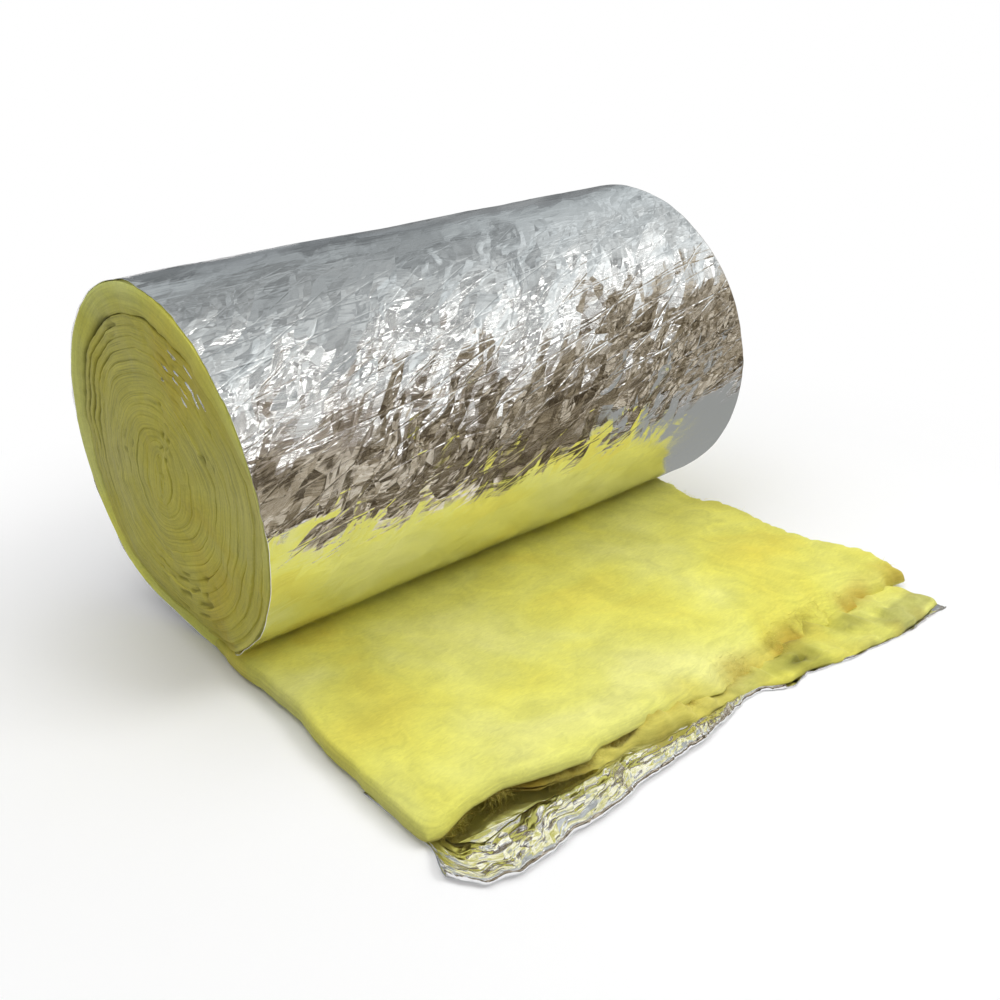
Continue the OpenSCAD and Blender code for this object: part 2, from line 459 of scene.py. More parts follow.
def foil_wrap():
    """The foil from under the free end, up the back of the roll, over its top and down into the nip."""
    floor_l, floor_steps, row_step, cols = 0.30, 25, 0.0026, 206
    lowest, highest, inner_level = -0.0016, 0.0012, -0.0019
    floor_rows = np.linspace(floor_l, 0.0, floor_steps + 1)[:-1]
    roll_rows = -np.arange(0.0, WRAP_L, row_step)
    along = np.concatenate([floor_rows, roll_rows])[:, None]
    across = np.concatenate([[-1.0], np.linspace(-0.998, 0.998, cols), [1.0]])
    on_floor = along > 0
    angle = np.clip(-along, 0, pi * BACK_R) / BACK_R
    angle = angle + np.clip(-along - pi * BACK_R, 0, None) / FRONT_R
    under = UNDER_WOOL * ease(along, 0, 0.05)
    near = np.where(along > 0, follow(NEAR_EDGE, along) + under, side_place(NEAR_EDGE, 0, angle)) + FOIL_IN
    far = np.where(along > 0, follow(FAR_EDGE, along) - under, side_place(FAR_EDGE, 0, angle)) - FOIL_IN
    # The near rim tucks behind the wool where the foil dives into the nip
    near = near + 0.006 * ease(angle, 1.84 * pi, 1.92 * pi)
    y = near + (far - near) * (across + 1) / 2
    sheet = vectors(along, y, 0.0)

    patches = 1 + 0.55 * noise(sheet, 0.11, 3) + 0.3 * noise(sheet, 0.04, 4)
    crumple = np.clip(follow(CRUMPLE, angle / pi) * patches, 0.04, 1.2)
    crumple = np.where(on_floor, 0.1, crumple)

    rng = np.random.default_rng(11)
    height = 0.0008 * noise(sheet, 0.12, 5) + 0.0005 * noise(sheet, 0.05, 6)
    add_creases(height, along, across * HALF_W, rng, ROLL_CREASES, crumple)
    height = np.clip(height - 0.0004, lowest, highest)
    # The rims stand off the wool here and there
    stand_off = 0.0024 * ease(across, -0.955, -1.0) + 0.0005 * ease(across, 0.955, 1.0)
    stand_off = np.clip(noise_1d(along, 0.035, 10), 0, 1) * stand_off
    height = height + ease(angle, 0.80 * pi, 1.0 * pi) * stand_off

    # The inner face is plain, and lies close behind the outer one along both thin rims
    inner = np.array([1.0, 0.98, 0.95, 0.33, -0.33, -0.95, -0.98, -1.0])
    inner_height = np.full((len(along), len(inner)), inner_level)
    for column in (0, 1, -2, -1):
        inner_height[:, column] = height[:, np.abs(across - inner[column]).argmin()] - RIM_T
    height = np.concatenate([height, inner_height], 1)
    floor_z = np.where(np.arange(height.shape[1]) < len(across), FOIL_T / 2, FOIL_T / 2 + RIM_T)
    across = np.concatenate([across, inner])

    y = near + (far - near) * (across + 1) / 2
    x, z = wind(angle, -height)
    x = np.where(on_floor, CONTACT_X + along, x)
    z = np.maximum(np.where(on_floor, floor_z, z), floor_z)
    edge_wave = 0.0006 * noise_1d(along, 0.025, 8) + 0.0004 * noise_1d(along, 0.008, 9)
    rim = ease(np.abs(across), 0.97, 1.0) * np.sign(across)
    points = vectors(x, y + edge_wave * rim, z)
    obj = make_object("foil_wrap", points, tube_faces(*points.shape[:2]), FOIL)
    crumple = np.pad(crumple, ((0, 0), (0, len(inner))), mode="edge")
    set_attribute(obj, "sheet", vectors(along, y, crumple))
    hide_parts("foil_facing")


def turn_pits(place):
    """Share from 0 to 1 of the short pits that lie along the turns, in patches, on the roll's ends."""
    dx, dz = place[..., 0] - CONTACT_X, place[..., 2] - BACK_R
    polar = vectors(np.hypot(dx, dz), 0.11 * np.arctan2(dz, dx), place[..., 1])
    pits = np.clip(6 * (noise(polar, (0.0038, 0.013, 1.0), 27) - 0.40), 0, 1)
    patch = np.clip(5 * (noise(place, 0.040, 24) - 0.15), 0, 1)
    return pits * patch * ease(np.hypot(dx, dz), BACK_R - 0.030, BACK_R - 0.040)


def end_relief(place):
    """How far the roll's ends lie in from flat: broad hollows, matted lumps and thin pits."""
    hollow = 0.0030 * (1 + noise(place, 0.07, 22)) + 0.0012 * noise(place, 0.025, 26)
    fine = 0.0006 * noise(place, 0.009, 23) + 0.0004 * noise(place, 0.0045, 28)
    return hollow + fine + 0.0020 * turn_pits(place)


def turn_gap(turn, within):
    """Share by which a turn stands open from the next, as the first few do at the back of the roll."""
    outermost = turn < 1
    centre = np.where(outermost, 0.68, 0.50) * pi
    reach = np.where(outermost, 0.36, 0.27) * pi
    fade = np.where(turn < 0, 0, np.exp(-(np.clip(turn - 1, 0, None) / 2.6) ** 2))
    return fade * np.exp(-((within - centre) / reach) ** 2)


def squash_eye(points):
    """Presses the innermost turns flat, so that the bore of the roll is shut."""
    eye_x, eye_z = CONTACT_X, BACK_R + TURN_PITCH / 4
    lean, flat_r, wave_r = 1.25, 0.034, 0.05
    dx, dz = points[..., 0] - eye_x, points[..., 2] - eye_z
    out = dx ** 2 + dz ** 2
    u = dx * math.cos(lean) + dz * math.sin(lean)
    v = dz * math.cos(lean) - dx * math.sin(lean)
    wave = 0.006 * np.sin(u / 0.016) * np.exp(-out / wave_r ** 2)
    v = v * (1 - 0.85 * np.exp(-out / flat_r ** 2)) + wave
    points[..., 0] = eye_x + u * math.cos(lean) - v * math.sin(lean)
    points[..., 2] = eye_z + u * math.sin(lean) + v * math.cos(lean)


def winding_angles(step):
    """Angles along the spiral, about step apart on the turn that each lies on."""
    angles = [-0.10]
    while angles[-1] < TURNS * 2 * pi:
        turn = max(angles[-1], 0) / (2 * pi)
        angles.append(angles[-1] + step / max(BACK_R - TURN_PITCH * turn, 0.02))
    return np.array(angles)


def wool_winding():
    """The wound wool: one long strip with soft edges, which show as turns on both ends of the roll."""
    row_step, slack = 0.0027, 0.019
    angle = winding_angles(row_step)[:, None]
    turn = np.clip(np.floor(angle / (2 * pi)), 0, None)
    within = angle - 2 * pi * turn
    # The outermost turn is loose over the top of the roll, and squeezes the next few
    loose = slack * ease(within, 0.12 * pi, 0.95 * pi)
    loose = loose * (1 - ease(within, 1.05 * pi, 1.5 * pi))

    def squeezed(k):
        return np.where(k < 1, 0.0, np.clip(1 - (k - 1) / 9, 0, 1))

    depth = TURN_PITCH * turn + loose * squeezed(turn)
    thick = TURN_PITCH + loose * (squeezed(turn + 1) - squeezed(turn))
    floor_run = np.clip(-angle, 0, None) * BACK_R
    thick = np.where(angle < 0, FRONT_Z - np.sqrt(FRONT_R ** 2 - floor_run ** 2) - FOIL_T, thick)
    skin = np.where(turn < 1, FOIL_T + 0.0012, 0.0)
    gap_in, gap_out = turn_gap(turn, within), turn_gap(turn - 1, within)
    thick = thick - skin - 0.0019 * gap_in

    across = np.array([0.0, 0.025, 0.07, 0.15, 0.3, 0.5, 0.7, 0.85, 0.93, 0.975, 1.0])
    near = side_place(NEAR_EDGE, turn, within) + WOOL_IN
    far = side_place(FAR_EDGE, turn, within) - WOOL_IN
    steps = np.diff(angle, axis=0, prepend=angle[:1])
    arc = np.cumsum(steps * np.clip(BACK_R - depth, 0.01, None), axis=0)
    slip = np.abs(noise_1d(angle, 1.1, 25))
    columns, grains, wear_shade_and_light = [], [], []
    for side, edge in ((-1, near), (1, far)):
        order = across if side < 0 else across[::-1]
        level = depth + skin + thick * order
        x, z = wind(angle, level)
        x = np.where(angle < 0, CONTACT_X + floor_run, x)
        z = np.where(angle < 0, level, z)
        y = np.broadcast_to(edge, x.shape)
        place = vectors(x, y, z)
        gap = np.where(order > 0.5, gap_in, gap_out)
        gap = gap * np.clip(0.75 + 1.3 * noise(place, 0.03, 29), 0.05, 1.5)
        open_up = 0.0002 + 0.0016 * np.clip(noise(place, 0.035, 21) - 0.15, 0, 1) + 0.0060 * gap
        corner = np.abs(2 * order - 1) ** 9 * open_up
        # The outermost turn is held level with the foil's edge
        level_edge = np.where(turn < 1, 0.15 + 0.85 * ease(order, 0.0, 0.8), 1.0)
        y = y - side * (corner + level_edge * (end_relief(place) + 0.0016 * slip))
        columns.append(vectors(x, y, z))
        grains.append(vectors(level - depth, arc, y))
        # The roll's ends are painted darker, as shade, but for the ring of the loose outer turn, which is
        # painted paler, as light from above
        outer = np.where(turn < 1, 1 - ease(within, 1.1 * pi, 1.8 * pi), 0.0)
        cut_shade_and_light = 1 - 2 * outer * (1 - np.clip(level / 0.036, 0, 1))
        # Painted shade where the turns stand open and in the pits
        darkening = np.clip(gap * np.abs(2 * order - 1) ** 5 + 0.5 * turn_pits(place), 0, 1)
        wear_shade_and_light.append(vectors(0.0, cut_shade_and_light, darkening))
    points = np.concatenate(columns, 1)

    # The turns wander, except the outermost, which the foil holds round
    held = np.clip((depth - 0.004) / 0.03, 0, 1)
    wander = points * (1, 0.25, 1)
    for axis, seed in ((0, 61), (2, 63)):
        points[..., axis] += 0.0035 * held * noise(wander, 0.055, seed)
        points[..., axis] += 0.0012 * held * noise(wander, 0.02, seed + 1)
    squash_eye(points)

    obj = make_object("wool_winding", points, tube_faces(*points.shape[:2]), WOOL)
    set_attribute(obj, "grain", np.concatenate(grains, 1))
    set_attribute(obj, "wear_shade_and_light", np.concatenate(wear_shade_and_light, 1))
    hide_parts("wool_blanket")


def bullnose(distance, radius, power=2):
    """Height of a rounded edge, from 0 at the edge to 1 at radius. A higher power is squarer."""
    t = 1 - np.clip(distance / radius, 0, 1)
    return np.clip(1 - t ** power, 0, 1) ** (1 / power)


def spaced(length, radius, step, both):
    """Shares of a length, close together over a rounded edge at its end, or at both ends."""
    edge = radius * (1 - np.cos(np.linspace(0, pi / 2, 9)))
    middle = np.linspace(radius, length - radius, max(int((length - 2 * radius) / step), 2))[1:-1]
    start = edge if both else np.arange(0, radius, step)
    return np.concatenate([start, middle, length - edge[::-1]]) / length


def mat_shares(length, step_x, width, step_y, edge_r):
    """Shares along and across a mat at each point of its grid, closer together over its rounded edges."""
    shares = spaced(length, edge_r, step_x, False)[:, None], spaced(width, edge_r, step_y, True)[None, :]
    return np.broadcast_arrays(*shares)


def free_wool():
    """The full wool of the free end: ragged sides, a rounded near lip and a torn far end."""
    start_x, edge_r = 0.015, 0.012
    u, v = mat_shares(length=0.385, step_x=0.0028, width=0.59, step_y=0.0029, edge_r=edge_r)
    # The place across before the sides are worked out, which the outline of the end follows
    rough_y = -0.308 + 0.6 * v
    # The near half ends in a lip, the far half slopes down to its torn layer, and the far corner is blunt
    lip = 1 - ease(rough_y, -0.08, 0.02)
    blunt_share = np.maximum(lip, ease(rough_y, 0.22, 0.27))
    ragged = 0.0008 + 0.0024 * (1 - lip)
    end = follow(WOOL_END, rough_y)
    end = end + ragged * (noise_1d(rough_y, 0.016, 31) + 0.3 * noise_1d(rough_y, 0.005, 32))
    run = start_x + u * (end - start_x)
    near = follow(NEAR_EDGE, run) + 0.001 * noise_1d(run, 0.014, 33) + 0.002
    far = follow(FAR_EDGE, run) + 0.003 * noise_1d(run, 0.010, 34) + 0.0015 * noise_1d(run, 0.004, 35)
    y = near + v * (far - near)
    free = ease(run, 0.045, 0.12)
    place = vectors(run, y, 0.0)
    lumps = 0.0030 * noise(place, 0.11, 36) + 0.0016 * noise(place, 0.045, 37)
    lumps = lumps + 0.0006 * noise(place, 0.016, 38)
    to_end = end - run
    tatter = (1 - lip) * np.exp(-to_end / 0.030)
    rags = 0.0028 * noise(place, (0.03, 0.02, 1), 39) + 0.0020 * noise(place, 0.009, 40)
    lumps = lumps + tatter * rags
    reach = np.minimum(run, 0.17) - 0.3 * SAG * ease(run, 0.0, 0.06)
    under_roll = FRONT_Z - np.sqrt(np.clip(FRONT_R ** 2 - reach ** 2, 0, None)) - FOIL_T
    thick = np.minimum(WOOL_T + free * lumps, under_roll)
    side = bullnose(y - near, edge_r, 3) * bullnose(far - y, edge_r, 3)
    blunt = bullnose(to_end, edge_r)
    slope = np.clip(to_end / (0.040 + 0.018 * noise_1d(rough_y, 0.05, 47)), 0, 1) ** 0.8
    edge_top = side * (blunt_share * blunt + (1 - blunt_share) * slope)
    edge_low = side * blunt
    at_end = np.exp(-(to_end / 0.03) ** 2)
    meet = FOIL_T + thick * (0.5 - at_end * (0.28 - 0.24 * lip))
    # The near lip hangs clear of the foil, except at its corner
    hang = lip * ease(rough_y, -0.302, -0.272)
    floor_z = FOIL_T + 0.0008 + 0.0085 * hang * np.exp(-(to_end / 0.05) ** 2)
    top = vectors(CONTACT_X + run, y, meet + (FOIL_T + thick - meet) * edge_top)
    bottom = vectors(CONTACT_X + run, y, meet + (floor_z - meet) * edge_low)
    # A brown band below the torn ridge of the far half: partly torn wool, partly painted shade
    brown = np.clip(0.75 + 1.1 * noise(place, (0.05, 0.035, 1), 41), 0, 1)
    brown_and_shade_top = tatter * brown * ease(to_end, 0.032, 0.009)
    # Painted shade on the wool along the roll's nip
    shade_by_nip = np.exp(-((run - NIP_RUN) / 0.022) ** 2)
    brown_and_shade_top = brown_and_shade_top + 0.22 * shade_by_nip * np.clip(0.8 + noise(place, 0.07, 49), 0, 1)
    # Painted shade under the near lip
    brown_and_shade_low = 0.3 * lip * np.exp(-to_end / 0.02)
    obj = close_mat("wool_free_end", top, bottom, brown_and_shade_top, brown_and_shade_low, 0 * brown_and_shade_low)


def close_mat(name, top, bottom, brown_and_shade_top, brown_and_shade_low, darkening):
    """A closed mat from its upper and lower grids, which meet along every edge but the first row's."""
    rows, cols = top.shape[:2]
    faces = grid_quads(rows, cols)
    lower = faces[:, ::-1] + rows * cols
    first = np.arange(cols - 1)
    wall = np.stack([first, first + rows * cols, first + 1 + rows * cols, first + 1], -1)
    points = np.concatenate([top.reshape(-1, 3), bottom.reshape(-1, 3)])
    obj = make_object(name, points, np.concatenate([faces, lower, wall]), WOOL)
    set_attribute(obj, "grain", points[:, [2, 0, 1]])
    torn = np.concatenate([brown_and_shade_top.ravel(), brown_and_shade_low.ravel()])
    shade = np.concatenate([darkening.ravel(), darkening.ravel()])
    set_attribute(obj, "wear_shade_and_light", vectors(torn, 0.0, shade))
    weld = obj.modifiers.new("weld", "WELD")
    weld.merge_threshold = 0.00002
    return obj


def torn_wool():
    """The thin layer that stayed on the foil where the wool above it tore away."""
    start_x, edge_r = 0.325, 0.006
    u, v = mat_shares(length=0.10, step_x=0.002, width=0.59, step_y=0.0024, edge_r=edge_r)
    y = TORN_NEAR + (TORN_FAR - TORN_NEAR) * v
    end = follow(TORN_END, y) + 0.0014 * noise_1d(y, 0.022, 41) + 0.0008 * noise_1d(y, 0.007, 42)
    run = start_x + u * (end - start_x)
    place = vectors(run, y, 0.0)
    near_half = 1 - ease(y, -0.02, 0.06)
    thick = 0.0060 + 0.0028 * noise(place, (0.03, 0.02, 1), 43)
    thick = thick + 0.0020 * noise(place, (0.012, 0.008, 1), 44)
    bulge = np.clip(noise(place, 0.028, 45) - 0.05, 0, 1) * ease(y, -0.2, -0.12)
    thick = thick + near_half * (-0.0030 + 0.011 * bulge + 0.0012 * noise(place, 0.006, 50))
    thick = np.clip(thick, 0.0012, None)
    edge = bullnose(end - run, edge_r) * bullnose(y - TORN_NEAR, edge_r) * bullnose(TORN_FAR - y, edge_r)
    # The layer is worn through in one small place, where it dips under the foil
    from_hole = ((run - HOLE_AT[0]) / HOLE_R[0]) ** 2 + ((y - HOLE_AT[1]) / HOLE_R[1]) ** 2
    hole = ease(from_hole + 0.8 * noise(place, 0.006, 58), 1.3, 0.5)
    low = (FOIL_T + 0.0006) * (1 - hole) + 0.0002 * hole
    top = vectors(CONTACT_X + run, y, low + thick * edge * (1 - 0.97 * hole))
    bottom = vectors(CONTACT_X + run, y, low)
    # The torn layer's near half, in the lip's shadow, is painted browner as shade; elsewhere the brown
    # varies at random
    brown = 0.38 * near_half + 0.30 * np.clip(noise(place, (0.03, 0.02, 1), 46) + 0.05, 0, 1)
    # Painted shade in a brown line below the end of the wool above
    shade_at_end = np.exp(-((run - follow(WOOL_END, y) + 0.007) / 0.007) ** 2)
    brown = brown + 0.55 * shade_at_end * np.clip(0.7 + noise(place, (0.05, 0.035, 1), 41), 0, 1)
    # Darker in patches and round the hole; the darkening of the near half and in the hole is painted shade
    grey = np.clip(0.8 * noise(place, (0.024, 0.045, 1), 48) - 0.02, 0, 0.4)
    grey = grey + 0.3 * np.exp(-from_hole / 6)
    shade = (1 - near_half) * (grey + 0.06) + near_half * 0.08 + 0.55 * np.exp(-from_hole)
    obj = close_mat("wool_torn_layer", top, bottom, brown, brown, shade)


def foil_flap():
    """The foil that reaches past the wool, its near half folded back as a crumpled hem."""
    start_x = 0.29
    rows, cols = 60, 240
    share = np.linspace(0, 1, rows)[:, None]
    across = np.linspace(0, 1, cols)[None, :]
    y0 = FLAP_NEAR + across * FLAP_W
    rim = follow(FOIL_END, y0) + 0.0012 * noise_1d(y0, 0.02, 51) + 0.0008 * noise_1d(y0, 0.006, 52)
    hem = follow(HEM_WIDTH, y0) * (1 + 0.10 * noise_1d(y0, 0.03, 53))
    radius = 0.0008 + 0.0018 * ease(hem, 0.0, 0.02)
    flat_l = rim - radius - start_x
    bend_l = pi * radius
    # More rows go to the rim and the hem than to the strip under the wool
    run = share ** 0.75 * (flat_l + bend_l + hem)
    bend = np.clip((run - flat_l) / radius, 0, pi)
    folded = np.clip(run - flat_l - bend_l, 0, None)
    x = start_x + np.minimum(run, flat_l) + radius * np.sin(bend) - folded
    # The hem slants down from the fold to its raw edge
    part = folded / np.maximum(hem, 0.004)
    slant = 0.0008 * np.sin(pi * np.clip(part, 0, 1)) - 0.0032 * part
    lift = 0.0022 * ease(x, 0.372, 0.405)
    z = FOIL_T / 2 + radius * (1 - np.cos(bend)) + ease(hem, 0.004, 0.02) * (slant + lift)
    crumple = ease(run, 0.09, 0.13) * np.ones_like(y0)
    height = np.zeros(run.shape)
    rng = np.random.default_rng(5)
    add_creases(height, run, y0, rng, FLAP_CREASES, crumple)
    # Long creases run along the fold
    for share_in, seed in ((0.22, 54), (0.52, 55), (0.80, 56)):
        line = share_in + 0.10 * noise_1d(y0, 0.06, seed)
        height += 0.0011 * np.clip(1 - np.abs(part - line) * hem / 0.0022, 0, 1) * (folded > 0)
    x = x + np.sin(bend) * height
    z = z + np.where(bend > pi / 2, 1.0, 0.4) * np.abs(height)
    z = np.maximum(z, FOIL_T / 2)
    # The strip under the wool is narrower than the wool, so only the flap's own corners show
    squeeze = UNDER_WOOL * (1 - ease(x, 0.372, 0.410))
    y = y0 - np.sign(y0) * squeeze * ease(np.abs(y0), 0.2, 0.3)
    points = vectors(CONTACT_X + x, y, z)
    obj = make_object("foil_flap", points, grid_quads(rows, cols), FOIL)
    set_attribute(obj, "sheet", vectors(run, y0, 0.15 + 0.6 * crumple))
    thicken(obj)


def unit(directions):
    """Directions at a length of one."""
    return directions / np.linalg.norm(directions, axis=1, keepdims=True)


def strands(name, roots, headings, lengths, radii, torn, rng):
    """Loose glass fibres: thin tapered tubes that start at the roots, drift about and droop."""
    rings, sides = 6, 3
    drift, droop = 0.42, 0.12
    count = len(roots)
    heading = unit(headings)
    points = np.zeros((count, rings, sides, 3))
    place = roots.copy()
    for ring in range(rings):
        heading = unit(heading + rng.normal(0, drift, (count, 3)) + np.array([0, 0, -droop]))
        across = unit(np.cross(heading, [0.3, 0.2, 0.93]))
        up = np.cross(heading, across)
        radius = (radii * (1 - 0.8 * ring / (rings - 1)))[:, None]
        for side in range(sides):
            turn = 2 * pi * side / sides
            points[:, ring, side] = place + radius * (across * math.cos(turn) + up * math.sin(turn))
        place = place + heading * (lengths / (rings - 1))[:, None]
    points[..., 2] = np.maximum(points[..., 2], 0.0004)
    tube = tube_faces(rings, sides)
    faces = []
    for first in range(0, count * rings * sides, rings * sides):
        faces.extend([[corner + first for corner in face] for face in tube])
    obj = make_object(name, points, faces, WOOL)
    set_attribute(obj, "grain", points.reshape(-1, 3)[:, [2, 0, 1]])
    torn = np.repeat(torn, rings * sides)
    set_attribute(obj, "wear_shade_and_light", vectors(torn, 0.0, 0.0))


def torn_fibres():
    """Fibres that hang from the torn end of the wool, and stand out along its ragged sides."""
    rng = np.random.default_rng(23)
    end_count, side_count = 2600, 420
    # Each fibre's root, heading, length, radius and brown share, which is partly painted shade
    fibres = []
    while len(fibres) < end_count:
        y = rng.uniform(-0.292, 0.28)
        # The fibres stand in clumps
        if noise_1d(y, 0.018, 57) < rng.uniform(-0.7, 0.35):
            continue
        far_half = y > -0.03
        end = float(follow(WOOL_END, y))
        back = rng.uniform(0.0, 0.022 if far_half else 0.016)
        if far_half:
            z = 0.006 + 0.8 * back * rng.uniform(0.3, 1.0)
            heading = (1.0, rng.normal(0, 1.1), rng.normal(-0.1, 0.4))
            torn = rng.uniform(0.0, 0.6)
        else:
            z = rng.uniform(0.006, 0.012)
            heading = (1.0, rng.normal(0, 0.9), rng.normal(-0.45, 0.35))
            # Fibres under the near lip are painted browner, as its shade
            torn = rng.uniform(0.4, 1.0)
        length, radius = rng.uniform(0.004, 0.017), rng.uniform(0.00007, 0.00018)
        fibres.append((CONTACT_X + end - back, y, z, *heading, length, radius, torn))
    for _ in range(side_count):
        run = rng.uniform(0.08, 0.39)
        y = float(follow(FAR_EDGE, run)) - 0.001
        fibres.append((CONTACT_X + run, y, rng.uniform(0.006, 0.019),
                       rng.normal(0, 0.8), 1.0, rng.normal(0.0, 0.4),
                       rng.uniform(0.003, 0.009), rng.uniform(0.00010, 0.00022), rng.uniform(0.0, 0.3)))
    fibres = np.array(fibres)
    strands("wool_fibres", fibres[:, :3], fibres[:, 3:6], *fibres[:, 6:].T, rng)


def turn_edges():
    """Slivers of foil that stand out between the turns, high on the front of both ends."""
    rng = np.random.default_rng(31)
    count, rows = 12, 12
    end_y, root_depth = HALF_W - WOOL_IN, 0.010
    points, faces, sheet = [], [], []
    for side in (-1, 1):
        for _ in range(count):
            turn = rng.integers(3, 7)
            first = rng.uniform(1.09, 1.25) * pi
            span = rng.uniform(0.05, 0.14)
            angle = np.linspace(first, first + span, rows)
            depth = TURN_PITCH * turn + rng.normal(0, 0.0025) + 0.0006 * noise_1d(angle * 9, 1.0, 71)
            x, z = wind(angle, depth)
            face = end_y - end_relief(vectors(x, side * end_y, z))
            taper = np.sin(np.linspace(0.1, pi - 0.1, rows))
            out = face - 0.0006 + 0.0009 * taper * rng.uniform(0.6, 1.0)
            root_y = side * (HALF_W - root_depth)
            row = np.arange(rows)
            tips = vectors(x + 0.0003 * np.sin(2 * row), side * out, z + 0.0004 * np.sin(3 * row))
            strip = np.stack([vectors(x, root_y, z), tips], 1).reshape(-1, 3)
            faces.extend(grid_quads(rows, 2) + len(points))
            points.extend(strip)
            sheet.extend(vectors(np.repeat(angle * FRONT_R, 2), strip[:, 1], 0.8))
    obj = make_object("foil_turn_edges", points, faces, FOIL)
    set_attribute(obj, "sheet", sheet)
    thicken(obj)


foil_wrap()
wool_winding()
free_wool()
torn_wool()
foil_flap()
torn_fibres()
turn_edges()


def glow_material(name, colour, strength=1.0):
    """A card of one colour that shines by itself."""
    n = Nodes(bpy.data.materials.new(name))
    n.set(n.shader, Base_Color=(0, 0, 0, 1), Roughness=0.9, Specular_IOR_Level=0.0,
          Emission_Color=(*colour, 1), Emission_Strength=strength)
    return n.owner


def stage_mesh(name, points, faces, material, is_card=True):
    """A piece of the stage. A card is seen by the foil alone, in its reflections."""
    obj = mesh_object(name, points, faces, material)
    if is_card:
        for rays in ("camera", "diffuse", "transmission", "shadow"):
            setattr(obj, "visible_" + rays, False)


def stage_plane(name, outline, z, material, is_card=True):
    """A level piece of the stage at height z."""
    points = [(x, y, z) for x, y in outline]
    stage_mesh(name, points, [tuple(range(len(points)))], material, is_card)


def stage_wall(name, start, end, low, high, material):
    """An upright card between two places on the floor."""
    points = [(*start, low), (*end, low), (*end, high), (*start, high)]
    stage_mesh(name, points, [(0, 1, 2, 3)], material)


def rectangle(x0, y0, x1, y1):
    """The corners of a rectangle."""
    return [(x0, y0), (x1, y0), (x1, y1), (x0, y1)]


def floor_material():
    """A plain pale floor that fades to white away from the object, and throws little light back at it."""
    n = Nodes(bpy.data.materials.new("pale_floor"))
    seen = n.background_rays()
    away = n.add("ShaderNodeVectorMath", {"operation": "LENGTH"}, i0=n.place()).outputs["Value"]
    far_off = n.add("ShaderNodeMapRange", {"interpolation_type": "SMOOTHSTEP"}, i0=away, i1=0.26, i2=0.85,
                    i3=0.0, i4=1.0).outputs[0]
    colour = n.ramp(seen, [(0.0, (0.5, 0.5, 0.5)), (1.0, (0.93, 0.93, 0.93))])
    n.set(n.shader, Base_Color=colour, Roughness=0.9, Specular_IOR_Level=0.0)
    white = n.add("ShaderNodeEmission", Color=(1, 1, 1, 1), Strength=1.0)
    n.blend(n.times(far_off, seen), n.shader, white)
    return n.owner


# The floor
FLOOR_R = 9.0
stage_plane("floor", rectangle(-FLOOR_R, -FLOOR_R, FLOOR_R, FLOOR_R), 0, floor_material(), is_card=False)


def card_material(name, colours, height, soft, one_sided=False):
    """A card for the foil to reflect, mottled in colours from dark to pale.

    It fades out towards its height, which rises towards the far side and falls towards the back.
    Where one_sided is set, it is clear from behind."""
    n = Nodes(bpy.data.materials.new(name))
    place = n.place()
    patch = n.noise(place, 7.0, 3.0)["Fac"]
    mottle = n.noise(place, 11.0, 5.0, Roughness=0.62)["Fac"]
    colour = n.ramp(mottle, list(zip(np.linspace(0.40, 0.63, len(colours)), colours)))
    glow = n.add("ShaderNodeEmission", Color=colour, Strength=1.0)
    clear = n.add("ShaderNodeBsdfTransparent")
    axes = n.axes(place)
    ragged = n.times(n.math("SUBTRACT", patch, 0.5), 0.25)
    rise = n.math("ADD", n.span(axes["Y"], 0.15, 0.6, 0.0, 0.36), n.span(axes["X"], -0.5, 0.1, -0.22, 0.0))
    level = n.math("SUBTRACT", n.math("ADD", axes["Z"], ragged), rise)
    fade = n.span(level, height - soft, height, 0.0, 1.0)
    if one_sided:
        fade = n.math("MAXIMUM", fade, n.add("ShaderNodeNewGeometry").outputs["Backfacing"])
    n.blend(fade, glow, clear)
    return n.owner


BROWNS = [(0.034, 0.024, 0.014), (0.125, 0.096, 0.058), (0.37, 0.305, 0.198), (0.95, 0.88, 0.75)]
GREYS = [(0.16, 0.17, 0.175), (0.34, 0.355, 0.36)]
HEM_COLOURS = [(0.50, 0.48, 0.08), (0.80, 0.77, 0.22), (1.15, 1.13, 0.90), (1.30, 1.30, 1.25)]
BROWN_WALL = card_material("brown_wall", BROWNS, 0.38, 0.12)
GREY_WALL = card_material("grey_wall", GREYS, 0.50, 0.12)

# Low walls round the object for the foil to reflect: brown, but for the grey one at the back
BACK_X, FRONT_X, NEAR_Y, FAR_Y = -0.75, 0.42, -0.75, 0.95
WALL_H = 1.0
corners = rectangle(BACK_X, NEAR_Y, FRONT_X, FAR_Y)
for i, wall_material in enumerate([BROWN_WALL, BROWN_WALL, BROWN_WALL, GREY_WALL]):
    stage_wall(f"wall_{i}", corners[i], corners[(i + 1) % 4], 0, WALL_H, wall_material)

# Strips just above the floor: a brown one in front of the free end, a yellow one along the wool's far side
# for the foil's far end, which is a painted reflection of yellow wool, and a grey one past the far end for
# the foil's lower far corner.
# A brown shelf hangs over the free end's outer half, so that the roll's foil shows less yellow: a painted
# brown reflection in place of part of the wool's.
FRONT_STRIP = rectangle(0.35, NEAR_Y, FRONT_X, FAR_Y)
SHELF = [(0.36, -0.14), (0.36, 0.42), (0.24, 0.42), (0.185, 0.29), (0.18, 0.17), (0.115, 0.05),
         (0.12, 0.02), (0.187, -0.05), (0.25, -0.12)]
YELLOW = [(-0.06, 0.27), (0.034, 0.302), (0.096, 0.333), (0.142, 0.361), (0.19, 0.385), (0.19, 0.27)]
GREY = rectangle(-0.14, 0.262, 0.325, FAR_Y)
stage_plane("brown_strip", FRONT_STRIP, 0.001, BROWN_WALL)
stage_plane("brown_shelf", SHELF, 0.03, card_material("brown_shelf", BROWNS, 0.38, 0.12, one_sided=True))
stage_plane("yellow_strip", YELLOW, 0.002, glow_material("yellow_strip", (0.70, 0.67, 0.16)))

